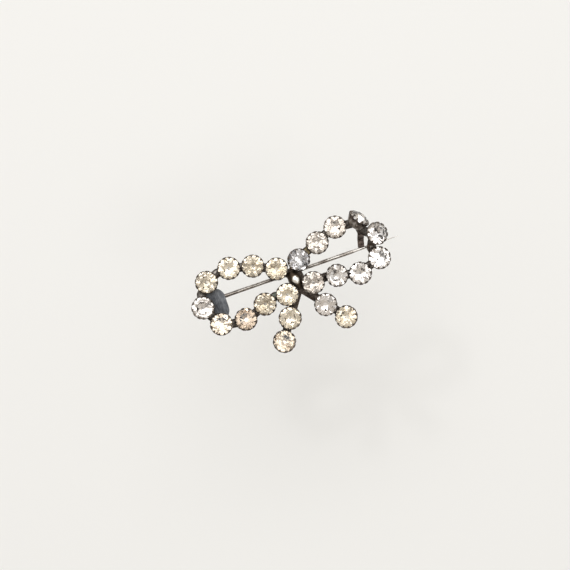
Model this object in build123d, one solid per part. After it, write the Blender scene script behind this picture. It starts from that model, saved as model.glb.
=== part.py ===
from build123d import *

import os
from collections import namedtuple
from math import atan2, cos, degrees, dist, radians, sin

# A bow-shaped brooch: round paste stones in coronet settings, on flat back strips, with a swinging pin.
#
# The front faces +Z and the wearer's pin runs along X, from the hinge on the left to the catch on the right.
# Pieces are first made about the pin's line, with Z = 0 at the stones' girdles. They are moved at the end, so
# that the origin is the middle of the bounding box's bottom face, where the brooch lies on a table.

# ---- Driving dimensions, in millimetres and degrees ----

# Stones
STONE_R = 1.80  # at the girdle
TABLE_R = 1.02
CROWN_H = 0.60
STAR_R = 1.40  # where the star facets end
GIRDLE_H = 0.10
PAVILION_H = 1.25
CULET_R = 0.20
PAVILION_BREAK_R = 0.85  # where the lower girdle facets end
FACET_COUNT = 8

# Settings: a cone with a closed back and a row of folded teeth
CUP_R = 1.95
CUP_FOOT_R = 1.25
CUP_DEPTH = 1.75  # girdle plane to the back
CUP_FLARE_Z = -0.20  # the cone ends here and the rim goes straight up
CUP_WALL = 0.13
CUP_FLOOR = 0.20
SEAT_GAP = 0.02  # between the girdle and the cup
TOOTH_COUNT = 12
TOOTH_RISE = 0.34  # how high the folded tips stand over the girdle plane
TOOTH_REACH = 0.36  # how far they lean in
TOOTH_TIP_T = 0.08  # thickness of the tips
NOTCH_BOTTOM_Z = -0.16
NOTCH_WIDTH = 0.62  # at the height of the tips

# Back strips
STRIP_T = 0.40
LOOP_STRIP_W = 1.50
TAIL_STRIP_W = 1.45
CENTRE_PLATE_RX, CENTRE_PLATE_RY = 1.40, 2.40
STRIP_END_X = 0.50  # how far from the bow's middle the strips' middle lines end
LOOP_END_RISE = 1.00  # a loop's two ends meet the centre plate this far over and under the knot
TAIL_END_DROP = 2.00

# Where a loop's strip leaves the line between two settings: number of the first -> how far it bows outwards
LEFT_LOOP_BOWS = {3: 0.45, 4: 0.70, 8: -0.55}
RIGHT_LOOP_BOWS = {2: 0.20, 4: -0.40, 5: -0.75, 8: -0.35}

# Knot in the middle of the bow
KNOT_X, KNOT_Y = -0.20, -1.35
KNOT_R, KNOT_END_R, KNOT_HALF_L, KNOT_END_ROUND = 1.15, 0.70, 1.70, 0.50
KNOT_AXIS_RISE = 0.15  # the dome's axis stands this far in front of the strips
KNOT_LEAN = 13.0

# Pin and hinge
PIN_R = 0.32
PIN_BACK = 3.60  # girdle plane to the pin's line
HINGE_X = -14.50
HINGE_LEAN = 24.0  # the rivet leans, so that the pin leaves the catch on its open side
PIN_ROOT_X, PIN_TAPER_X, PIN_TIP_X = -11.20, 10.00, 18.70
PIN_ROOT_R, PIN_TIP_R = 0.42, 0.04
EYE_R, EYE_BORE_R, EYE_W = 0.72, 0.34, 1.10
RIVET_R, RIVET_HEAD_R, RIVET_HEAD_H, RIVET_HEAD_ROUND = 0.30, 0.52, 0.22, 0.18
EAR_R, EAR_BORE_R, EAR_T, EAR_GAP = 0.80, 0.31, 0.42, 1.20
HINGE_PLATE_T = 0.45
HINGE_PLATE_W, HINGE_PLATE_H, HINGE_PLATE_CORNER = 4.20, 5.60, 1.80
HINGE_PLATE_X, HINGE_PLATE_Y = -14.40, -0.95

# Catch: a bent strip, open towards -Y
CATCH_X, CATCH_W, CATCH_T = 12.15, 1.10, 0.35
CATCH_LEAN = 14.0  # its foot stands further along the pin than its shelf
CATCH_GAP = 0.76  # pin's line to the catch's inner face behind it
CATCH_FOOT_Y, CATCH_BEND_Y, CATCH_SIDE_Y, CATCH_TIP_Y = 4.00, 2.45, 1.60, 0.30
CATCH_BEND_R = 0.60

BLOCK = 60.0  # size of the blocks that trim other shapes

# ---- Heights that follow ----

STRIP_FRONT_Z = -CUP_DEPTH
STRIP_BACK_Z = STRIP_FRONT_Z - STRIP_T
PIN_Z = -PIN_BACK
HINGE_PLATE_BACK_Z = STRIP_BACK_Z - HINGE_PLATE_T

# ---- Where the stones sit ----

# Each loop starts beside the knot and each step is (distance, heading in degrees) to the next stone.
LEFT_LOOP_START = (-2.60, 1.40)
LEFT_LOOP_STEPS = [
    (4.0, 154), (4.0, 166), (4.4, 193), (4.3, 243),
    (4.1, 300), (4.15, 352), (4.05, 19), (4.05, 4),
]
RIGHT_LOOP_START = (1.40, 1.60)
RIGHT_LOOP_STEPS = [
    (4.2, 24), (3.95, 22), (4.35, 2), (3.95, -60),
    (4.1, -104), (4.1, -160), (3.95, 166), (4.1, 178),
]
LEFT_TAIL_START = (-3.15, -7.10)
LEFT_TAIL_STEPS = [(3.95, 237)]
RIGHT_TAIL_START = (3.20, -6.90)
RIGHT_TAIL_STEPS = [(3.95, -50)]

# Hand-bent settings: name -> (tilt of the face, heading that it turns towards). The others sit flat.
TILTS = {
    "right_4": (68, 36),
    "right_1": (12, 300),
    "right_5": (22, 0),
    "right_6": (8, 20),
    "right_8": (16, 170),
    "left_6": (14, 70),
    "left_7": (10, 110),
    "left_tail_2": (10, 45),
    "right_tail_2": (14, 150),
    "right_tail_1": (6, 200),
}
SPIN_STEP = 37.0  # the settings and stones are turned by this much more each time round their own axes

Seat = namedtuple("Seat", "name x y z tilt heading spin")


def chain(start, steps):
    """The points reached from start by a list of (distance, heading) steps."""
    points = [start]
    for distance, heading in steps:
        x, y = points[-1]
        points.append((x + distance * cos(radians(heading)), y + distance * sin(radians(heading))))
    return points


def seat_height(tilt):
    """Height of a tilted setting's girdle centre when its lowest corner rests on the strips."""
    corners = [(CUP_FOOT_R, -CUP_DEPTH), (CUP_R, CUP_FLARE_Z)]
    lowest = min(z * cos(radians(tilt)) - r * sin(radians(tilt)) for r, z in corners)
    return STRIP_FRONT_Z - lowest


def make_seats():
    """Every stone's place, face direction and spin, in order round the bow."""
    rows = {
        "left": chain(LEFT_LOOP_START, LEFT_LOOP_STEPS),
        "right": chain(RIGHT_LOOP_START, RIGHT_LOOP_STEPS),
        "left_tail": chain(LEFT_TAIL_START, LEFT_TAIL_STEPS),
        "right_tail": chain(RIGHT_TAIL_START, RIGHT_TAIL_STEPS),
    }
    seats = []
    for row, points in rows.items():
        for number, (x, y) in enumerate(points, start=1):
            name = f"{row}_{number}"
            tilt, heading = TILTS.get(name, (0, 0))
            seats.append(Seat(name, x, y, seat_height(tilt), tilt, heading, SPIN_STEP * len(seats)))
    return seats


def seat_location(seat):
    """The placement of a piece that was made upright with its girdle centre at the origin."""
    turn = Rot(Z=seat.heading) * Rot(Y=seat.tilt) * Rot(Z=-seat.heading)
    return Pos(seat.x, seat.y, seat.z) * turn * Rot(Z=seat.spin)


def foot_point(seat):
    """Where a strip passes under a setting: at its back, nearer the edge that a tilted one stands on."""
    tilt = radians(seat.tilt)
    shift = CUP_DEPTH * sin(tilt) - CUP_FOOT_R * (1 - cos(tilt))
    return (seat.x - shift * cos(radians(seat.heading)), seat.y - shift * sin(radians(seat.heading)))


# ---- Stone ----


def ring(radius, z, half_step=False):
    """FACET_COUNT points round a circle, at the main facets' azimuths or halfway between them."""
    step = 360 / FACET_COUNT
    offset = step / 2 if half_step else 0
    return [
        Vector(radius * cos(radians(offset + step * i)), radius * sin(radians(offset + step * i)), z)
        for i in range(FACET_COUNT)
    ]


def main_facet_height(radius, inner_r, outer_r, height):
    """Height over the girdle of a point halfway between two main facets, on the edge where they meet."""
    reach = radius * cos(radians(180 / FACET_COUNT))
    return height * (outer_r - reach) / (outer_r - inner_r)


def stone():
    """A brilliant-cut stone with an octagonal table, an open culet and a thin faceted girdle."""
    culet_reach = CULET_R * cos(radians(180 / FACET_COUNT))
    star_z = main_facet_height(STAR_R, TABLE_R, STONE_R, CROWN_H)
    break_z = main_facet_height(PAVILION_BREAK_R, culet_reach, STONE_R, PAVILION_H)
    table = ring(TABLE_R, CROWN_H)
    stars = ring(STAR_R, star_z, half_step=True)
    top, top_half = ring(STONE_R, 0), ring(STONE_R, 0, half_step=True)
    base, base_half = ring(STONE_R, -GIRDLE_H), ring(STONE_R, -GIRDLE_H, half_step=True)
    breaks = ring(PAVILION_BREAK_R, -GIRDLE_H - break_z, half_step=True)
    culet = ring(CULET_R, -GIRDLE_H - PAVILION_H, half_step=True)
    outlines = [table, culet]
    for i in range(FACET_COUNT):
        n = (i + 1) % FACET_COUNT
        p = i - 1
        outlines += [
            [table[i], table[n], stars[i]],
            [table[i], stars[i], top[i], stars[p]],
            [stars[i], top[i], top_half[i]],
            [stars[i], top_half[i], top[n]],
            [top[i], top_half[i], base_half[i], base[i]],
            [top_half[i], top[n], base[n], base_half[i]],
            [base[i], base_half[i], breaks[i]],
            [base_half[i], base[n], breaks[i]],
            [base[i], breaks[i], culet[i], culet[p], breaks[p]],
        ]
    faces = [Face(Wire.make_polygon(points, close=True)) for points in outlines]
    return Solid(Shell(faces))


# ---- Setting ----


def setting():
    """A cup with a closed back, whose toothed rim folds over the stone's edge."""
    inner_r = STONE_R + SEAT_GAP
    tip_r = inner_r - TOOTH_REACH
    profile = [
        (0, -CUP_DEPTH),
        (CUP_FOOT_R, -CUP_DEPTH),
        (CUP_R, CUP_FLARE_Z),
        (CUP_R, 0),
        (tip_r + TOOTH_TIP_T, TOOTH_RISE + TOOTH_TIP_T),
        (tip_r, TOOTH_RISE),
        (inner_r, 0),
        (inner_r, -GIRDLE_H - SEAT_GAP),
        (CUP_FOOT_R - CUP_WALL, CUP_FLOOR - CUP_DEPTH),
        (0, CUP_FLOOR - CUP_DEPTH),
    ]
    with BuildPart() as cup:
        with BuildSketch(Plane.XZ):
            Polygon(*profile, align=None)
        revolve(axis=Axis.Z)
        with BuildSketch(Plane.YZ.offset(CUP_FOOT_R)):
            half, top = NOTCH_WIDTH / 2, TOOTH_RISE + CUP_WALL
            Polygon((0, NOTCH_BOTTOM_Z), (half, top), (-half, top), align=None)
        notch = extrude(amount=CUP_R, mode=Mode.PRIVATE)
        with PolarLocations(0, TOOTH_COUNT):
            add(notch, mode=Mode.SUBTRACT)
    return cup.part.solid()


# ---- Back strips ----


def strip(points, width):
    """A flat strip with round ends and corners whose middle line runs from point to point."""
    outline = Sketch()
    for (x0, y0), (x1, y1) in zip(points, points[1:]):
        heading = degrees(atan2(y1 - y0, x1 - x0))
        length = dist((x0, y0), (x1, y1))
        outline += Pos((x0 + x1) / 2, (y0 + y1) / 2) * Rot(Z=heading) * SlotCenterToCenter(length, width)
    return Pos(0, 0, STRIP_BACK_Z) * extrude(outline, amount=STRIP_T)


def bowed(points, bows, side):
    """The points of a loop's strip with one more between each two, moved outwards by that pair's bow."""
    outwards = -90 if side == "left" else 90
    path = [points[0]]
    for number, ((x0, y0), (x1, y1)) in enumerate(zip(points, points[1:]), start=1):
        across = atan2(y1 - y0, x1 - x0) + radians(outwards)
        bow = bows.get(number, 0)
        path.append(((x0 + x1) / 2 + bow * cos(across), (y0 + y1) / 2 + bow * sin(across)))
        path.append((x1, y1))
    return path


def half_space(x_sign):
    """A block larger than the bow that covers one side of its middle, for trimming the strips there."""
    return Pos(x_sign * BLOCK / 2, 0, 0) * Box(BLOCK, BLOCK, BLOCK)


def centre_plate():
    """The oval plate behind the knot, where the strips are joined."""
    return Pos(0, KNOT_Y, STRIP_BACK_Z) * extrude(Ellipse(CENTRE_PLATE_RX, CENTRE_PLATE_RY), amount=STRIP_T)


def loop_strip(seats, side):
    """One loop's strip, from the centre plate round under the settings and back to the plate."""
    sign = -1 if side == "left" else 1
    bows = LEFT_LOOP_BOWS if side == "left" else RIGHT_LOOP_BOWS
    feet = [foot_point(s) for s in seats if s.name.startswith(side) and "tail" not in s.name]
    upper_end = (sign * STRIP_END_X, KNOT_Y + LOOP_END_RISE)
    lower_end = (sign * STRIP_END_X, KNOT_Y - LOOP_END_RISE)
    whole = strip([upper_end, *bowed(feet, bows, side), lower_end], LOOP_STRIP_W)
    return whole - centre_plate() - half_space(-sign)


def tail_strip(seats, side, loop):
    """One tail's strip, from the plate's lower end down under its two settings."""
    sign = -1 if side == "left" else 1
    feet = [foot_point(s) for s in seats if s.name.startswith(side + "_tail")]
    whole = strip([(sign * STRIP_END_X, KNOT_Y - TAIL_END_DROP), *feet], TAIL_STRIP_W)
    return whole - centre_plate() - loop - half_space(-sign)


# ---- Knot ----


def knot():
    """The domed oval that covers the middle of the bow, flat behind."""
    with BuildPart() as dome:
        with BuildSketch(Plane.XY):
            with BuildLine():
                ends = (KNOT_END_R, -KNOT_HALF_L), (KNOT_END_R, KNOT_HALF_L)
                ThreePointArc(ends[0], (KNOT_R, 0), ends[1])
                Polyline(ends[1], (0, KNOT_HALF_L), (0, -KNOT_HALF_L), ends[0])
            make_face()
        revolve(axis=Axis.Y)
        fillet(dome.edges().filter_by(GeomType.CIRCLE), KNOT_END_ROUND)
    placed = Pos(KNOT_X, KNOT_Y, STRIP_FRONT_Z + KNOT_AXIS_RISE) * Rot(Z=KNOT_LEAN) * dome.part
    behind = Pos(KNOT_X, KNOT_Y, STRIP_FRONT_Z - KNOT_R) * Box(4 * KNOT_R, 4 * KNOT_HALF_L, 2 * KNOT_R)
    return placed - behind


# ---- Hinge ----

# In this frame X runs along the pin, Y along the rivet and Z towards the hinge plate.
HINGE_FRAME = Pos(HINGE_X, 0, PIN_Z) * Rot(X=-HINGE_LEAN)


def along_rivet(radius, start, end):
    """A cylinder about the rivet's axis, between two distances along it, in the hinge's own frame."""
    return Pos(0, (start + end) / 2, 0) * Rot(X=90) * Cylinder(radius, end - start)


def hinge_plate():
    """The rounded plate behind the left loop's end, which carries the hinge."""
    outline = RectangleRounded(HINGE_PLATE_W, HINGE_PLATE_H, HINGE_PLATE_CORNER)
    return Pos(HINGE_PLATE_X, HINGE_PLATE_Y, HINGE_PLATE_BACK_Z) * extrude(outline, amount=HINGE_PLATE_T)


def hinge_ear(sign):
    """One of the two upright ears, soldered to the plate's back."""
    near, far = sorted((sign * EAR_GAP / 2, sign * (EAR_GAP / 2 + EAR_T)))
    height = PIN_BACK  # longer than needed, and trimmed at the plate
    block = Pos(0, (near + far) / 2, height / 2) * Box(2 * EAR_R, far - near, height)
    ear = block + along_rivet(EAR_R, near, far) - along_rivet(EAR_BORE_R, near, far)
    in_front = Pos(HINGE_X, 0, HINGE_PLATE_BACK_Z + BLOCK / 2) * Box(BLOCK, BLOCK, BLOCK)
    return HINGE_FRAME * ear - in_front


def rivet():
    """The hinge's rivet, with a low domed head at each end."""
    half = EAR_GAP / 2 + EAR_T
    shaft = along_rivet(RIVET_R, -half, half)
    head = along_rivet(RIVET_HEAD_R, half, half + RIVET_HEAD_H)
    head = fillet(head.edges().group_by(Axis.Y)[-1], RIVET_HEAD_ROUND)
    return HINGE_FRAME * (shaft + head + mirror(head, about=Plane.XZ))


# ---- Pin ----


def pin_stem():
    """The wire pin: an eye round the rivet, a thicker root, a plain shank and a long point."""
    eye = along_rivet(EYE_R, -EYE_W / 2, EYE_W / 2)
    bore = along_rivet(EYE_BORE_R, -EYE_W, EYE_W)
    profile = [
        (EYE_BORE_R, 0),
        (EYE_BORE_R, PIN_ROOT_R),
        (PIN_ROOT_X - HINGE_X, PIN_R),
        (PIN_TAPER_X - HINGE_X, PIN_R),
        (PIN_TIP_X - HINGE_X, PIN_TIP_R),
        (PIN_TIP_X - HINGE_X, 0),
    ]
    shank = revolve(Polygon(*profile, align=None), axis=Axis.X)
    return HINGE_FRAME * (eye + shank - bore)


# ---- Catch ----


def catch_hook():
    """The bent strip that holds the pin: a foot on the loop's strip, a side and a shelf behind the pin."""
    foot_z = STRIP_BACK_Z - CATCH_T / 2
    shelf_z = PIN_Z - CATCH_GAP - CATCH_T / 2
    foot = [(CATCH_FOOT_Y, foot_z), (CATCH_BEND_Y, foot_z)]
    shelf = [(CATCH_SIDE_Y, shelf_z), (CATCH_TIP_Y, shelf_z)]
    path = FilletPolyline(*foot, *shelf, radius=CATCH_BEND_R)
    outline = Wire(path.edges()).offset_2d(CATCH_T / 2, kind=Kind.ARC, side=Side.BOTH)
    profile = Plane.YZ * Face(outline)
    hook = extrude(profile, amount=CATCH_W, dir=(1, 0, 0))
    return Pos(CATCH_X, 0, 0) * Rot(Z=-CATCH_LEAN) * Pos(-CATCH_W / 2, 0, 0) * hook


# ---- Assembly ----


def make_nodes():
    """Every node's shape by name, about the pin's line."""
    seats = make_seats()
    one_stone, one_setting = stone(), setting()
    nodes = {}
    for seat in seats:
        nodes[f"stone_{seat.name}"] = seat_location(seat) * one_stone
        nodes[f"setting_{seat.name}"] = seat_location(seat) * one_setting
    for side in ("left", "right"):
        loop = loop_strip(seats, side)
        nodes[f"{side}_loop_strip"] = loop
        nodes[f"{side}_tail_strip"] = tail_strip(seats, side, loop)
    nodes["centre_plate"] = centre_plate()
    nodes["knot"] = knot()
    nodes["hinge_plate"] = hinge_plate()
    nodes["hinge_ear_upper"] = hinge_ear(1)
    nodes["hinge_ear_lower"] = hinge_ear(-1)
    nodes["hinge_rivet"] = rivet()
    nodes["catch_hook"] = catch_hook()
    nodes["pin_stem"] = pin_stem()
    return nodes


def table_shift(nodes):
    """The move that puts the middle of the bounding box's bottom face at the origin."""
    box = Compound(children=[Compound(shape.solids()) for shape in nodes.values()]).bounding_box()
    return Pos(-box.center().X, -box.center().Y, -box.min.Z)


NODES = make_nodes()
SHIFT = table_shift(NODES)

os.makedirs("parts", exist_ok=True)
for node_name, shape in NODES.items():
    solids = (SHIFT * shape).solids()
    export_step(solids[0] if len(solids) == 1 else Compound(solids), f"parts/{node_name}.step")
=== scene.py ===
import math
import random

import bmesh
import bpy
import numpy as np
from mathutils import Matrix, Vector, noise


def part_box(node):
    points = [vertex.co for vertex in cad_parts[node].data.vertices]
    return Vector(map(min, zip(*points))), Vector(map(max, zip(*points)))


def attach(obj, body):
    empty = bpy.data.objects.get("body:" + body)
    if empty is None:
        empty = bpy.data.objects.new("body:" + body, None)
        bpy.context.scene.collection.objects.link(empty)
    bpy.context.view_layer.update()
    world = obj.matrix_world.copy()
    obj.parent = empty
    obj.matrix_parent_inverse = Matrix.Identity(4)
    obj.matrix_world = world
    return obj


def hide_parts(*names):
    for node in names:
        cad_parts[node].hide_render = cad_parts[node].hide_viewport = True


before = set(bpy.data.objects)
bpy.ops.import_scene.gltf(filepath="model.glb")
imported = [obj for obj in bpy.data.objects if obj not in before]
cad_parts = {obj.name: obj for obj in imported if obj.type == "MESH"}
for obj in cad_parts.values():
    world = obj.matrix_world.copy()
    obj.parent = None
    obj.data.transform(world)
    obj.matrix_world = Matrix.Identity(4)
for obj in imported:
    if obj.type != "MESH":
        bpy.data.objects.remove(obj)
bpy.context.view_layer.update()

MM = 0.001
TAU = 2 * math.pi

# ---- Stones: a brilliant cut of FACETS main facets, in millimetres and degrees ----
STONE_R = 1.79
TABLE_R = 1.02
CROWN_H = 0.60
GIRDLE_H = 0.10
PAVILION_H = 1.25
CULET_R = 0.26
FACETS = 8
STAR_SLOPE = 24.0
UPPER_HALF_SLOPE = 43.0
GIRDLE_SIDES = 64
GIRDLE_LIFT = 0.01
BACK_FACING = -0.1

# ---- Light: headings in degrees from +X, distance in metres ----
WINDOW_HEADING = 78
LIGHT_DISTANCE = 0.60

# ---- Camera: turned in degrees, aimed in millimetres ----
CAMERA_ROLL = -19.2
CAMERA_AIM = (-2.36, 1.24, 4.75)
CAMERA_DISTANCE = 224.3
CAMERA_LENS = 85

# ---- Stage, in millimetres ----
FLOOR_DROP = 34.0
FLOOR_HALF = 1500.0

# ---- Settings, in millimetres ----
CUP_R = 1.95
CUP_FOOT_R = 1.27
CUP_DEPTH = 1.75
CUP_WALL = 0.11
CUP_FOOT_ROUND = 0.10
CUP_FLARE_POWER = 0.92
CUP_ROWS = 5
DENTS = 7
DENT_DEPTH = 0.02
TEETH = 12
TOOTH_COLUMNS = 5
TOOTH_ROWS = 6
TOOTH_BASE_Z = -0.12
TOOTH_RISE = 0.33
TOOTH_REACH = 0.46
TOOTH_BASE_SHARE = 0.74
TOOTH_TIP_SHARE = 0.16
NOTCH_DEPTH = 0.24
NOTCH_IN = 0.09

# ---- Solder, in millimetres ----
SOLDER_SETBACK = 1.05
SOLDER_LOW = 0.12
SOLDER_CLIMB = 0.50
SOLDER_SUNK = 0.04
SOLDER_UNEVEN = 0.45
EAR_BEAD_R = 0.16
CATCH_BEAD_R = 0.14
NOISE_SPAN = 50

# ---- Edges of the CAD parts, in millimetres and degrees ----
WELD_GAP = 0.002
BEVEL_FROM = 35.0
STRIP_BEVEL = 0.05
PLATE_BEVEL = 0.08

STONE_KINDS = {
    "sharp": ["right_1"],
    "clear": ["left_5", "right_5", "right_6", "right_7", "right_8", "right_tail_1"],
    "pale": ["right_2", "right_3", "right_4", "right_9"],
    "cloudy": ["left_6", "left_tail_2"],
    "brown": ["left_7"],
}


# ---- Node helpers ----


class Shader:
    """A Principled material and short ways to add nodes to it."""

    def __init__(self, name):
        self.material = bpy.data.materials.new(name)
        self.material.use_nodes = True
        self.tree = self.material.node_tree
        self.surface = self.tree.nodes["Principled BSDF"]

    def set(self, **values):
        """Fixed values on the surface's own sockets, by socket name with _ for a space."""
        for name, value in values.items():
            self.surface.inputs[name.replace("_", " ")].default_value = value

    def node(self, kind, **settings):
        made = self.tree.nodes.new(kind)
        for name, value in settings.items():
            setattr(made, name, value)
        return made

    def link(self, source, target):
        self.tree.links.new(source, target)

    def place(self, scale=(1, 1, 1), turn=0.0):
        """Object coordinates in millimetres, stretched by scale and turned about Z."""
        coordinates = self.node("ShaderNodeTexCoord")
        mapping = self.node("ShaderNodeMapping")
        mapping.inputs["Scale"].default_value = [s / MM for s in scale]
        mapping.inputs["Rotation"].default_value = (0, 0, turn)
        self.link(coordinates.outputs["Object"], mapping.inputs["Vector"])
        return mapping.outputs["Vector"]

    def noise(self, scale, detail=4.0, roughness=0.55, stretch=(1, 1, 1), turn=0.0):
        """A noise with scale features to the millimetre."""
        made = self.node("ShaderNodeTexNoise")
        made.inputs["Scale"].default_value = scale
        made.inputs["Detail"].default_value = detail
        made.inputs["Roughness"].default_value = roughness
        self.link(self.place(stretch, turn), made.inputs["Vector"])
        return made.outputs["Fac"]

    def ramp(self, source, *stops):
        """Colours by position along a source value."""
        made = self.node("ShaderNodeValToRGB")
        elements = made.color_ramp.elements
        while len(elements) < len(stops):
            elements.new(0.5)
        for element, (position, colour) in zip(elements, stops):
            element.position = position
            element.color = (*colour, 1)
        self.link(source, made.inputs["Fac"])
        return made.outputs["Color"]

    def stained(self, factor, source, stain):
        """A source colour, covered by a stain's fixed colour as a factor socket says."""
        made = self.node("ShaderNodeMix", data_type="RGBA")
        self.link(factor, made.inputs["Factor"])
        self.link(source, made.inputs["A"])
        made.inputs["B"].default_value = (*stain, 1)
        return made.outputs["Result"]

    def scaled(self, source, low, high, start=0.0, end=1.0):
        """A value moved from the range start to end into the range low to high."""
        made = self.node("ShaderNodeMapRange")
        made.inputs["From Min"].default_value = start
        made.inputs["From Max"].default_value = end
        made.inputs["To Min"].default_value = low
        made.inputs["To Max"].default_value = high
        self.link(source, made.inputs["Value"])
        return made.outputs["Result"]

    def attribute(self, name):
        return self.node("ShaderNodeAttribute", attribute_name=name).outputs["Fac"]

    def plus(self, first, second):
        made = self.node("ShaderNodeMath", operation="ADD")
        self.link(first, made.inputs[0])
        self.link(second, made.inputs[1])
        return made.outputs["Value"]

    def bump(self, height, depth_mm, strength=1.0):
        """Small relief of the given depth."""
        made = self.node("ShaderNodeBump")
        made.inputs["Strength"].default_value = strength
        made.inputs["Distance"].default_value = depth_mm * MM
        self.link(height, made.inputs["Height"])
        self.link(made.outputs["Normal"], self.surface.inputs["Normal"])

    def colour(self, source):
        self.link(source, self.surface.inputs["Base Color"])

    def rough(self, source):
        self.link(source, self.surface.inputs["Roughness"])


# ---- Materials ----


def stone_glass(name, tint):
    """Old paste: slightly tinted lead glass with fine wear on its facets."""
    made = Shader(name)
    made.set(Base_Color=(*tint, 1), Transmission_Weight=1.0, IOR=1.58, Metallic=0.0)
    made.rough(made.scaled(made.noise(1.3, 5.0, 0.65), 0.0, 0.06, 0.50, 0.85))
    made.bump(made.noise(1.8, 2.0, 0.5), 0.01, 0.12)
    return made.material


def stone_foil(name, bright, dull, dark, tarnish):
    """The foil behind a stone, clouded and browned in patches. tarnish moves it from clean to spotted."""
    made = Shader(name)
    made.set(Metallic=1.0)
    patches = made.noise(0.6, 6.0, 0.60)
    edges = 0.66 - 0.12 * tarnish
    made.colour(made.ramp(patches, (edges - 0.20, bright), (edges, dull), (edges + 0.10, dark)))
    made.rough(made.scaled(made.noise(2.2, 3.0), 0.03, 0.20, 0.40, 0.75))
    made.bump(made.noise(1.2, 2.0), 0.02, 0.20)
    return made.material


def worn_metal(name, dark, middle, bright, rust, worn_from=0.5, scratched=False):
    """Tarnished silvered metal, dark in its hollows and brighter where it is rubbed, with brown stains.

    A piece made here says where it is rubbed with its wear attribute, which on a setting's teeth also paints
    glints at their tips. A scratched metal is for a CAD part, which has none: fine scratches cross it
    instead.
    """
    made = Shader(name)
    made.set(Metallic=1.0)
    patches = made.noise(1.5, 6.0, 0.68)
    if scratched:
        scratches = made.noise(1.0, 3.0, 0.5, stretch=(18.0, 1.6, 1.6), turn=0.8)
        rubbed = made.scaled(scratches, -0.10, 0.04, 0.35, 0.75)
    else:
        # Rubbed metal from the wear attribute, which on a setting's teeth also carries painted glints.
        rubbed = made.scaled(made.attribute("wear"), -0.22, 0.38)
    height = made.plus(patches, rubbed)
    stops = ((worn_from - 0.14, dark), (worn_from + 0.06, middle), (worn_from + 0.34, bright))
    metal = made.ramp(height, *stops)
    stains = made.scaled(made.noise(0.9, 5.0, 0.7), 0.0, 0.75, 0.54, 0.72)
    made.colour(made.stained(stains, metal, rust))
    made.rough(made.scaled(height, 0.52, 0.22, worn_from - 0.2, worn_from + 0.35))
    made.bump(made.noise(5.0, 5.0, 0.6), 0.03, 0.6)
    return made.material


def brushed_plate():
    """The hinge plate's dull steel: fine lines along its length, and clouds."""
    made = Shader("brushed_plate")
    made.set(Metallic=1.0)
    lines = made.noise(1.0, 6.0, 0.7, stretch=(6.0, 0.55, 2.0), turn=0.3)
    clouds = made.noise(0.45, 4.0, 0.6)
    both = made.plus(made.scaled(lines, 0.0, 0.5), made.scaled(clouds, 0.0, 0.5))
    dark, middle, bright = (0.05, 0.052, 0.058), (0.12, 0.126, 0.136), (0.25, 0.262, 0.275)
    made.colour(made.ramp(both, (0.36, dark), (0.50, middle), (0.66, bright)))
    made.rough(made.scaled(lines, 0.28, 0.52, 0.3, 0.7))
    made.bump(lines, 0.02, 0.45)
    return made.material


def drawn_wire():
    """The pin's steel, with faint lines along it and brown patches, lighter towards its point."""
    made = Shader("drawn_wire")
    made.set(Metallic=1.0)
    lines = made.noise(1.0, 5.0, 0.6, stretch=(0.35, 9.0, 9.0))
    clouds = made.noise(0.55, 5.0, 0.7)
    both = made.plus(made.scaled(lines, 0.0, 0.4), made.scaled(clouds, 0.0, 0.6))
    length = made.node("ShaderNodeSeparateXYZ")
    made.link(made.node("ShaderNodeTexCoord").outputs["Object"], length.inputs["Vector"])
    lighter_to_point = made.scaled(length.outputs["X"], 0.0, 0.09, -3 * MM, 3 * MM)
    both = made.plus(both, lighter_to_point)
    brown, grey, silver = (0.09, 0.07, 0.06), (0.30, 0.265, 0.235), (0.72, 0.69, 0.65)
    made.colour(made.ramp(both, (0.40, brown), (0.52, grey), (0.64, silver)))
    made.rough(made.scaled(lines, 0.12, 0.28, 0.3, 0.7))
    made.bump(lines, 0.01, 0.35)
    return made.material


def knot_face_painted_highlight(centre):
    """The knot's brown metal, with a painted highlight on the top of its dome: a round silver patch fading to
    brown.
    """
    made = Shader("knot_face_painted_highlight")
    made.set(Metallic=1.0)
    coordinates = made.node("ShaderNodeTexCoord")
    offset = made.node("ShaderNodeVectorMath", operation="SUBTRACT")
    offset.inputs[1].default_value = centre
    made.link(coordinates.outputs["Object"], offset.inputs[0])
    distance = made.node("ShaderNodeVectorMath", operation="LENGTH")
    made.link(offset.outputs["Vector"], distance.inputs[0])
    clouds = made.noise(1.6, 5.0, 0.65)
    # Painted highlight: the colour runs to silver the nearer a point is to the dome's top.
    rubbed = made.scaled(distance.outputs["Value"], 0.45, -0.45, 0.2 * MM, 1.1 * MM)
    height = made.plus(clouds, rubbed)
    brown, olive, silver = (0.07, 0.05, 0.035), (0.26, 0.21, 0.15), (0.93, 0.89, 0.82)
    made.colour(made.ramp(height, (0.34, brown), (0.50, olive), (0.66, silver)))
    made.rough(made.scaled(height, 0.55, 0.24, 0.35, 0.75))
    made.bump(made.noise(3.5, 4.0, 0.6), 0.03, 0.5)
    return made.material


def floor_paint():
    """A plain matt off-white surface."""
    made = Shader("pale_floor")
    made.set(Base_Color=(0.86, 0.855, 0.83, 1), Roughness=0.9, Specular_IOR_Level=0.2)
    return made.material


# ---- Mesh helpers ----


def new_object(name, bm, materials, smooth=True):
    """A scene object from a bmesh, which is in metres by now."""
    mesh = bpy.data.meshes.new(name)
    bm.to_mesh(mesh)
    bm.free()
    for material in materials:
        mesh.materials.append(material)
    for polygon in mesh.polygons:
        polygon.use_smooth = smooth
    made = bpy.data.objects.new(name, mesh)
    bpy.context.scene.collection.objects.link(made)
    return made


def apply_modifiers(target):
    """Puts a piece's modifiers into its mesh."""
    graph = bpy.context.evaluated_depsgraph_get()
    mesh = bpy.data.meshes.new_from_object(target.evaluated_get(graph))
    target.modifiers.clear()
    target.data = mesh


def set_wear(mesh, values):
    """The wear attribute that worn_metal reads, one value to a vertex."""
    attribute = mesh.attributes.new("wear", "FLOAT", "POINT")
    attribute.data.foreach_set("value", values)


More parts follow.
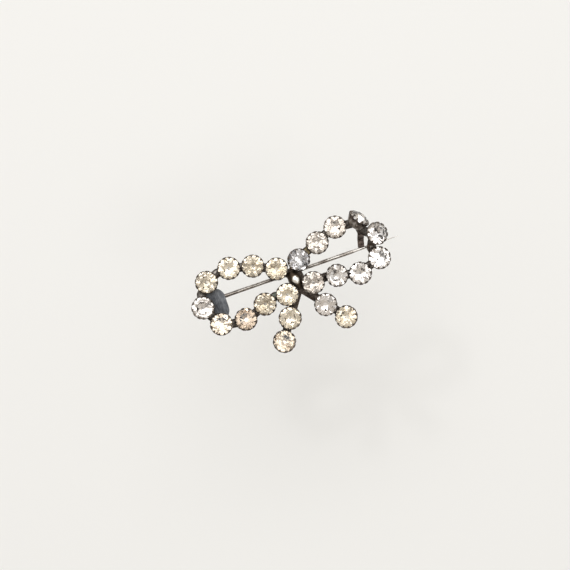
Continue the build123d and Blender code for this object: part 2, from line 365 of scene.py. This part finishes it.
def seat_matrix(name):
    """From millimetres about a stone's girdle, with the stone facing up, to its place in the brooch."""
    points = np.array([v.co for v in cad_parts[f"stone_{name}"].data.vertices])
    points = np.unique(np.round(points, 7), axis=0)
    centre = points.mean(axis=0)
    spreads, directions = np.linalg.eigh(np.cov((points - centre).T))
    axis = directions[:, np.argmin(spreads)]
    axis *= math.copysign(1, axis[2])
    along = (points - centre) @ axis
    across = np.linalg.norm(points - centre - np.outer(along, axis), axis=1)
    girdle = along[across > 0.99 * across.max()]
    place = Vector(centre + axis * girdle.max())
    turn = Vector((0, 0, 1)).rotation_difference(Vector(axis)).to_matrix().to_4x4()
    return Matrix.Translation(place) @ turn @ Matrix.Scale(MM, 4)


# ---- Stones ----


def cut(bm, slope, heading, reach, height):
    """Grinds a flat facet, sloping down towards heading, through the point at reach and height."""
    tilt, turn = math.radians(slope), math.radians(heading)
    normal = Vector((math.sin(tilt) * math.cos(turn), math.sin(tilt) * math.sin(turn), math.cos(tilt)))
    point = Vector((reach * math.cos(turn), reach * math.sin(turn), height))
    everything = bm.verts[:] + bm.edges[:] + bm.faces[:]
    result = bmesh.ops.bisect_plane(
        bm, geom=everything, dist=1e-5, plane_co=point, plane_no=normal, clear_outer=True
    )
    rim = [e for e in result["geom_cut"] if isinstance(e, bmesh.types.BMEdge)]
    if len(rim) > 2:
        bmesh.ops.contextual_create(bm, geom=rim)


def cut_stone(name, glass, foil, rng):
    """A hand-cut brilliant whose facets are each a little off, glass in front and foil behind."""
    table_r = TABLE_R + rng.uniform(-0.08, 0.08)
    crown_h = CROWN_H + rng.uniform(-0.04, 0.04)
    depth = PAVILION_H + rng.uniform(-0.03, 0.05)
    culet_r = CULET_R + rng.uniform(-0.04, 0.10)
    crown_slope = math.degrees(math.atan2(crown_h, STONE_R - table_r))
    back_slope = math.degrees(math.atan2(depth, STONE_R - culet_r))
    step = 360 / FACETS
    spin = rng.uniform(0, step)

    def off(amount):
        return rng.uniform(-amount, amount)

    bm = bmesh.new()
    bmesh.ops.create_cone(
        bm,
        cap_ends=True,
        segments=GIRDLE_SIDES,
        radius1=STONE_R,
        radius2=STONE_R,
        depth=2 * (depth + GIRDLE_H),
    )
    cut(bm, off(1.0), off(180), 0, crown_h)
    cut(bm, 180 + off(1.5), 0, 0, -GIRDLE_H - depth)
    for i in range(FACETS):
        main = spin + step * i
        cut(bm, crown_slope + off(1.2), main + off(1.0), STONE_R, 0)
        star = main + step / 2 + off(1.5)
        cut(bm, STAR_SLOPE + off(1.5), star, table_r * math.cos(math.radians(step / 2)), crown_h)
        cut(bm, 180 - back_slope + off(1.0), main + off(1.5), STONE_R, -GIRDLE_H)
        for side in (-1, 1):
            cut(bm, UPPER_HALF_SLOPE + off(1.2), main + side * step / 4 + off(0.8), STONE_R, GIRDLE_LIFT)
    bmesh.ops.recalc_face_normals(bm, faces=bm.faces[:])
    for face in bm.faces:
        face.material_index = 1 if face.normal.z < BACK_FACING else 0
    bm.transform(seat_matrix(name))
    made = new_object(f"cut_stone_{name}", bm, [glass, foil], smooth=False)
    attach(made, "brooch")
    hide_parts(f"stone_{name}")


# ---- Settings ----


def cup_profile():
    """The outside of a cup from the middle of its back to the foot of its teeth, as (radius, height)."""
    points = [(0.45, -CUP_DEPTH), (0.95, -CUP_DEPTH), (CUP_FOOT_R - CUP_FOOT_ROUND, -CUP_DEPTH + 0.01)]
    points.append((CUP_FOOT_R, -CUP_DEPTH + CUP_FOOT_ROUND))
    for i in range(1, CUP_ROWS + 1):
        t = i / CUP_ROWS
        radius = CUP_FOOT_R + (CUP_R - CUP_FOOT_R) * (t ** CUP_FLARE_POWER)
        climb = TOOTH_BASE_Z + CUP_DEPTH - CUP_FOOT_ROUND
        points.append((radius, -CUP_DEPTH + CUP_FOOT_ROUND + climb * t))
    return points


def tooth_path(t, rise, reach):
    """Radius and height along a tooth's outside, from the rim (t = 0) over the girdle to the tip (t = 1)."""
    upright = min(t / 0.3, 1.0)
    folded = max((t - 0.3) / 0.7, 0.0)
    height = TOOTH_BASE_Z + upright * -TOOTH_BASE_Z + folded * rise
    radius = CUP_R + 0.02 * math.sin(math.pi * upright) - reach * folded ** 1.15
    return radius, height


def coronet(name, metal, rng):
    """A cup whose rim is cut into teeth that are folded over the stone one by one."""
    columns = TEETH * (TOOTH_COLUMNS - 1)
    spin = rng.uniform(0, TAU)
    bm = bmesh.new()
    wear = []

    def vertex(radius, angle, height, wear_and_glint):
        wear.append(wear_and_glint)
        return bm.verts.new((radius * math.cos(angle), radius * math.sin(angle), height))

    dents = [rng.uniform(-DENT_DEPTH, DENT_DEPTH) for _ in range(DENTS)]
    rings = []
    profile = cup_profile()
    for row, (radius, height) in enumerate(profile):
        ring = []
        up = row / (len(profile) - 1)
        for column in range(columns):
            angle = spin + TAU * column / columns
            dent = dents[column * DENTS // columns] * math.sin(math.pi * up)
            notch = (0.5 + 0.5 * math.cos(TAU * column / (TOOTH_COLUMNS - 1))) * up ** 4
            wear_and_glint = 0.30 + 0.25 * math.sin(math.pi * up)
            ring.append(vertex(radius + dent - NOTCH_IN * notch, angle, height - NOTCH_DEPTH * notch, wear_and_glint))
        rings.append(ring)
    centre = vertex(0, 0, -CUP_DEPTH, 0.2)
    for column in range(columns):
        after = (column + 1) % columns
        bm.faces.new((centre, rings[0][after], rings[0][column]))
        for lower, upper in zip(rings, rings[1:]):
            bm.faces.new((lower[column], lower[after], upper[after], upper[column]))

    pitch = TAU / TEETH
    for tooth in range(TEETH):
        rise = TOOTH_RISE + rng.uniform(-0.03, 0.05)
        reach = TOOTH_REACH + rng.uniform(-0.06, 0.05)
        lean = rng.uniform(-0.05, 0.05)
        base = TOOTH_BASE_SHARE + rng.uniform(-0.05, 0.05)
        first = tooth * (TOOTH_COLUMNS - 1)
        lower = [rings[-1][(first + k) % columns] for k in range(TOOTH_COLUMNS)]
        middle = spin + pitch * (tooth + 0.5)
        for row in range(1, TOOTH_ROWS + 1):
            t = row / TOOTH_ROWS
            radius, height = tooth_path(t, rise, reach)
            upper = []
            for k in range(TOOTH_COLUMNS):
                u = 2 * k / (TOOTH_COLUMNS - 1) - 1
                half = pitch / 2 * (base - (base - TOOTH_TIP_SHARE) * t ** 1.1)
                crown = 0.03 * t * (1 - u * u)
                # Painted glints and wear: the value rises on each tooth's rubbed shoulder and sharply at its
                # tip, where the bright metal colour stands in for glints.
                wear_and_glint = 0.15 + 0.35 * math.exp(-((t - 0.4) / 0.15) ** 2) + 0.75 * t ** 4
                upper.append(vertex(radius + crown, middle + lean * t + u * half, height + crown, wear_and_glint))
            for k in range(TOOTH_COLUMNS - 1):
                bm.faces.new((lower[k], lower[k + 1], upper[k + 1], upper[k]))
            lower = upper
    bm.transform(seat_matrix(name))
    made = new_object(f"coronet_{name}", bm, [metal])
    set_wear(made.data, wear)
    shell = made.modifiers.new("wall", "SOLIDIFY")
    shell.thickness = CUP_WALL * MM
    shell.offset = -1
    smooth = made.modifiers.new("round", "SUBSURF")
    smooth.levels = smooth.render_levels = 1
    apply_modifiers(made)
    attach(made, "brooch")
    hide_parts(f"setting_{name}")


# ---- Solder ----


def foot_centre(name):
    """Where a cup's foot meets its strip: the middle of the CAD setting's lowest points."""
    points = [v.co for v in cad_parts[f"setting_{name}"].data.vertices]
    lowest = min(p.z for p in points)
    foot = [p for p in points if p.z < lowest + 0.15 * MM]
    return sum(foot, Vector()) / len(foot)


def strip_under(strip, middle, across):
    """The middle of a strip's front and its half width, from rays dropped along a line across it."""
    reach, steps = 2.0 * MM, 60
    hits = []
    for i in range(-steps, steps + 1):
        above = middle + across * (reach * i / steps)
        above.z = 10 * MM
        hit, place, _, _ = strip.ray_cast(above, Vector((0, 0, -1)))
        if hit:
            hits.append(place)
    return (hits[0] + hits[-1]) / 2, (hits[-1] - hits[0]).length / 2


def solder_seam(name, neighbour, strip, metal, rng):
    """A lump of solder on the strip between two cups, climbing both of them."""
    start, end = foot_centre(name), foot_centre(neighbour)
    along = (end - start).normalized()
    across = Vector((-along.y, along.x, 0)).normalized()
    centre, half_width = strip_under(strip, (start + end) / 2, across)
    half_length = (end - start).length / 2 - SOLDER_SETBACK * MM
    columns, rows = 14, 10
    seed = Vector((rng.uniform(0, NOISE_SPAN), rng.uniform(0, NOISE_SPAN), 0))
    bm = bmesh.new()
    top, bottom = [], []
    for i in range(columns + 1):
        u = 2 * i / columns - 1
        spread = 0.80 + 0.12 * noise.noise(seed + Vector((2 * u, 0, 0)))
        for j in range(rows + 1):
            v = 2 * j / rows - 1
            lump = 1 + SOLDER_UNEVEN * noise.noise(seed + Vector((1.8 * u, 1.8 * v, 3)))
            height = (SOLDER_LOW + SOLDER_CLIMB * abs(u) ** 2.4) * lump * max(1 - v * v, 0) ** 0.6
            place = centre + along * (u * half_length) + across * (v * half_width * spread)
            top.append(bm.verts.new(place + Vector((0, 0, height * MM))))
            bottom.append(bm.verts.new(place - Vector((0, 0, SOLDER_SUNK * MM))))
    width = rows + 1
    for i in range(columns):
        for j in range(rows):
            a = i * width + j
            bm.faces.new((top[a], top[a + width], top[a + width + 1], top[a + 1]))
            bm.faces.new((bottom[a], bottom[a + 1], bottom[a + width + 1], bottom[a + width]))
    edge = list(range(rows + 1)) + [i * width + rows for i in range(1, columns + 1)]
    edge += [columns * width + j for j in range(rows - 1, -1, -1)]
    edge += [i * width for i in range(columns - 1, 0, -1)]
    for a, b in zip(edge, edge[1:] + edge[:1]):
        bm.faces.new((top[a], top[b], bottom[b], bottom[a]))
    bmesh.ops.recalc_face_normals(bm, faces=bm.faces[:])
    made = new_object(f"solder_{name}", bm, [metal])
    set_wear(made.data, [0.35] * len(made.data.vertices))
    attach(made, "brooch")


def solder_bead(name, start, end, radius_mm, metal):
    """An uneven run of solder in the corner between two parts, from start to end."""
    rng = random.Random(name)
    seed = Vector((rng.uniform(0, NOISE_SPAN), rng.uniform(0, NOISE_SPAN), 0))
    sides, steps = 10, 16
    along = (end - start).normalized()
    side = along.orthogonal().normalized()
    up = along.cross(side)
    bm = bmesh.new()
    rings = []
    for i in range(1, steps):
        t = i / steps
        ring = []
        for k in range(sides):
            turn = TAU * k / sides
            spot = Vector((5 * t, 0.6 * math.cos(turn), 0.6 * math.sin(turn)))
            lump = 1 + SOLDER_UNEVEN * noise.noise(seed + spot)
            radius = radius_mm * MM * math.sin(math.pi * t) ** 0.45 * lump
            outward = side * math.cos(turn) + up * math.sin(turn)
            ring.append(bm.verts.new(start.lerp(end, t) + outward * radius))
        rings.append(ring)
    first, last = bm.verts.new(start), bm.verts.new(end)
    for k in range(sides):
        after = (k + 1) % sides
        bm.faces.new((first, rings[0][after], rings[0][k]))
        bm.faces.new((last, rings[-1][k], rings[-1][after]))
        for lower, upper in zip(rings, rings[1:]):
            bm.faces.new((lower[k], lower[after], upper[after], upper[k]))
    bmesh.ops.recalc_face_normals(bm, faces=bm.faces[:])
    made = new_object(name, bm, [metal])
    set_wear(made.data, [0.45] * len(made.data.vertices))
    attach(made, "brooch")


def joint_points(node):
    """Where a part on the back of the brooch meets what it is soldered to: its highest points."""
    points = [v.co.copy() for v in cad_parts[node].data.vertices]
    highest = max(p.z for p in points)
    return [p for p in points if p.z > highest - 0.01 * MM]


def fixings_solder(metal):
    """Solder on the outer side of each hinge ear's foot, and down both sides of the catch's foot."""
    for node, outer in (("hinge_ear_upper", max), ("hinge_ear_lower", min)):
        foot = joint_points(node)
        y = outer(p.y for p in foot)
        left, right = min(p.x for p in foot), max(p.x for p in foot)
        z = foot[0].z
        solder_bead(f"solder_{node}", Vector((left, y, z)), Vector((right, y, z)), EAR_BEAD_R, metal)
    foot = joint_points("catch_hook")
    low, high, z = min(p.y for p in foot), max(p.y for p in foot), foot[0].z
    for side, x in (("left", min(p.x for p in foot)), ("right", max(p.x for p in foot))):
        solder_bead(f"solder_catch_{side}", Vector((x, low, z)), Vector((x, high, z)), CATCH_BEAD_R, metal)


# ---- CAD nodes that keep their shape ----


def finish_cad(node, material, bevel_mm=0.0, rubbed=None):
    """A CAD node with its own material and slightly rounded edges, which may be of a rubbed metal."""
    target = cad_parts[node]
    target.data.materials.clear()
    target.data.materials.append(material)
    if rubbed:
        target.data.materials.append(rubbed)
    weld = target.modifiers.new("weld", "WELD")
    weld.merge_threshold = WELD_GAP * MM
    if bevel_mm:
        bevel = target.modifiers.new("edges", "BEVEL")
        bevel.width = bevel_mm * MM
        bevel.segments = 2
        bevel.limit_method = "ANGLE"
        bevel.angle_limit = math.radians(BEVEL_FROM)
        bevel.material = 1 if rubbed else -1


# ---- Stage ----


def make_floor():
    """A floor well below the brooch, which is shown held up, so that the open pin has room to hang."""
    half = FLOOR_HALF * MM
    bm = bmesh.new()
    corners = ((-half, -half), (half, -half), (half, half), (-half, half))
    bm.faces.new([bm.verts.new((x, y, 0)) for x, y in corners])
    floor = new_object("floor", bm, [floor_paint()], smooth=False)
    floor.location.z = -FLOOR_DROP * MM


def softbox(name, heading, height_angle, size, power, colour=(1, 1, 1)):
    """A rectangular light that faces the brooch from a heading and a height in degrees. size is in metres."""
    light = bpy.data.lights.new(name, "AREA")
    light.shape = "RECTANGLE"
    light.size, light.size_y = size
    light.energy = power
    light.color = colour
    made = bpy.data.objects.new(name, light)
    turn, up = math.radians(heading), math.radians(height_angle)
    direction = Vector((math.cos(turn) * math.cos(up), math.sin(turn) * math.cos(up), math.sin(up)))
    made.location = direction * LIGHT_DISTANCE
    made.rotation_euler = direction.to_track_quat("Z", "Y").to_euler()
    bpy.context.scene.collection.objects.link(made)


def make_world():
    """Soft light all round: bright on the window's side, dim and warm opposite, darkest straight above."""
    world = bpy.data.worlds.new("studio")
    world.use_nodes = True
    tree = world.node_tree
    direction = tree.nodes.new("ShaderNodeTexCoord").outputs["Generated"]

    def along(axis, start, end, low, high):
        """A value that runs from low to high as the direction's share of an axis runs from start to end."""
        dot = tree.nodes.new("ShaderNodeVectorMath")
        dot.operation = "DOT_PRODUCT"
        dot.inputs[1].default_value = axis
        tree.links.new(direction, dot.inputs[0])
        spread = tree.nodes.new("ShaderNodeMapRange")
        spread.interpolation_type = "SMOOTHSTEP"
        for socket, value in (("From Min", start), ("From Max", end), ("To Min", low), ("To Max", high)):
            spread.inputs[socket].default_value = value
        tree.links.new(dot.outputs["Value"], spread.inputs["Value"])
        return spread.outputs["Result"]

    turn = math.radians(WINDOW_HEADING)
    side = along((math.cos(turn), math.sin(turn), 0), -0.8, 0.6, 0.0, 1.0)
    ramp = tree.nodes.new("ShaderNodeValToRGB")
    stops = ((0.0, (0.34, 0.30, 0.26)), (0.5, (0.72, 0.69, 0.64)), (1.0, (0.84, 0.86, 0.90)))
    ramp.color_ramp.elements.new(0.5)
    for element, (position, colour) in zip(ramp.color_ramp.elements, stops):
        element.position = position
        element.color = (*colour, 1)
    tree.links.new(side, ramp.inputs["Fac"])
    horizon = tree.nodes.new("ShaderNodeMix")
    horizon.data_type = "RGBA"
    horizon.inputs["B"].default_value = (0.78, 0.77, 0.75, 1)
    tree.links.new(along((0, 0, 1), 0.20, 0.45, 1.0, 0.0), horizon.inputs["Factor"])
    tree.links.new(ramp.outputs["Color"], horizon.inputs["A"])
    background = tree.nodes["Background"]
    tree.links.new(horizon.outputs["Result"], background.inputs["Color"])
    overhead = along((0, 0, 1), math.cos(math.radians(8)), math.cos(math.radians(3)), 1.0, 0.45)
    tree.links.new(overhead, background.inputs["Strength"])
    bpy.context.scene.world = world


def make_lights():
    """A big window, a small bright spark near it and a weak fill from the other side."""
    softbox("window", WINDOW_HEADING, 64, size=(0.52, 0.52), power=1.5, colour=(1.0, 0.995, 0.985))
    softbox("spark", 110, 55, size=(0.05, 0.05), power=0.20)
    softbox("fill", 300, 60, size=(0.18, 0.16), power=0.22)


def make_camera():
    """Almost straight down on the front, with the pin rising to the right."""
    camera = bpy.data.cameras.new("camera")
    camera.lens = CAMERA_LENS
    camera.clip_start = 0.01
    made = bpy.data.objects.new("camera", camera)
    made.location = Vector(CAMERA_AIM) * MM + Vector((0, 0, CAMERA_DISTANCE * MM))
    made.rotation_euler = (0, 0, math.radians(CAMERA_ROLL))
    bpy.context.scene.collection.objects.link(made)
    bpy.context.scene.camera = made


# ---- Build ----

names = sorted(n.removeprefix("stone_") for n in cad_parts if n.startswith("stone_"))

glasses = {
    "sharp": stone_glass("paste_sharp", (0.995, 0.995, 1.0)),
    "clear": stone_glass("paste_clear", (1.0, 0.992, 0.982)),
    "pale": stone_glass("paste_pale", (1.0, 0.985, 0.965)),
    "warm": stone_glass("paste_warm", (1.0, 0.985, 0.955)),
    "cloudy": stone_glass("paste_cloudy", (1.0, 0.98, 0.95)),
    "brown": stone_glass("paste_brown", (1.0, 0.98, 0.955)),
}
foils = {
    "sharp": stone_foil("foil_sharp", (0.98, 0.975, 0.97), (0.69, 0.68, 0.685), (0.04, 0.038, 0.04), 1.1),
    "clear": stone_foil("foil_clear", (0.96, 0.94, 0.925), (0.87, 0.84, 0.81), (0.24, 0.20, 0.18), 0.3),
    "pale": stone_foil("foil_pale", (0.88, 0.85, 0.82), (0.74, 0.70, 0.66), (0.24, 0.20, 0.17), 0.5),
    "warm": stone_foil("foil_warm", (0.98, 0.94, 0.87), (0.85, 0.79, 0.69), (0.34, 0.28, 0.21), 0.5),
    "cloudy": stone_foil("foil_cloudy", (0.92, 0.875, 0.81), (0.75, 0.69, 0.61), (0.28, 0.23, 0.18), 0.7),
    "brown": stone_foil("foil_brown", (0.72, 0.66, 0.59), (0.54, 0.47, 0.40), (0.20, 0.155, 0.12), 0.8),
}
# Its bright colour comes out at the teeth's tips and shoulders, as painted glints on rubbed metal.
setting_metal = worn_metal(
    "setting_metal", (0.032, 0.026, 0.023), (0.17, 0.138, 0.115), (0.78, 0.74, 0.68), (0.09, 0.058, 0.036)
)
strip_metal = worn_metal(
    "strip_metal", (0.034, 0.027, 0.023), (0.10, 0.08, 0.067), (0.38, 0.34, 0.295), (0.085, 0.048, 0.028),
    scratched=True
)
strip_edges = worn_metal(
    "strip_edges", (0.06, 0.05, 0.042), (0.24, 0.20, 0.17), (0.55, 0.51, 0.46), (0.11, 0.07, 0.04),
    worn_from=0.42, scratched=True
)

for index, name in enumerate(names):
    rng = random.Random(100 + index)
    kind = next((k for k, members in STONE_KINDS.items() if name in members), "warm")
    cut_stone(name, glasses[kind], foils[kind], rng)
    coronet(name, setting_metal, rng)

solder = worn_metal(
    "solder", (0.05, 0.042, 0.038), (0.16, 0.145, 0.13), (0.50, 0.47, 0.43), (0.09, 0.06, 0.04)
)
green = worn_metal(
    "green_solder", (0.04, 0.042, 0.035), (0.15, 0.16, 0.13), (0.40, 0.41, 0.36), (0.10, 0.17, 0.12)
)
brassy = worn_metal(
    "brassy_solder", (0.09, 0.07, 0.04), (0.30, 0.25, 0.15), (0.62, 0.56, 0.42), (0.16, 0.12, 0.05)
)
stained = {"left_8": green, "right_1": brassy}
for group, strip_node, count in (
    ("left", "left_loop_strip", 9),
    ("right", "right_loop_strip", 9),
    ("left_tail", "left_tail_strip", 2),
    ("right_tail", "right_tail_strip", 2),
):
    for number in range(1, count):
        name = f"{group}_{number}"
        rng = random.Random(f"solder {name}")
        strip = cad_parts[strip_node]
        solder_seam(name, f"{group}_{number + 1}", strip, stained.get(name, solder), rng)

for node in ("left_loop_strip", "right_loop_strip", "left_tail_strip", "right_tail_strip", "centre_plate"):
    finish_cad(node, strip_metal, STRIP_BEVEL, strip_edges)
# The knot's painted highlight is centred on the top of its dome.
knot_low, knot_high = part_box("knot")
knot_top = ((knot_low[0] + knot_high[0]) / 2, (knot_low[1] + knot_high[1]) / 2, knot_high[2])
finish_cad("knot", knot_face_painted_highlight(knot_top))
finish_cad("hinge_plate", brushed_plate(), PLATE_BEVEL)
fixings_solder(solder)
for node in ("hinge_ear_upper", "hinge_ear_lower"):
    finish_cad(node, strip_metal, STRIP_BEVEL, strip_edges)
catch_metal = worn_metal(
    "catch_metal", (0.055, 0.042, 0.036), (0.20, 0.155, 0.135), (0.52, 0.47, 0.42), (0.13, 0.08, 0.06),
    worn_from=0.46, scratched=True
)
finish_cad("catch_hook", catch_metal, STRIP_BEVEL, strip_edges)
wire = drawn_wire()
finish_cad("hinge_rivet", wire)
finish_cad("pin_stem", wire)

make_floor()
make_world()
make_lights()
make_camera()
bpy.context.scene.view_settings.view_transform = "Standard"

bpy.context.view_layer.update()
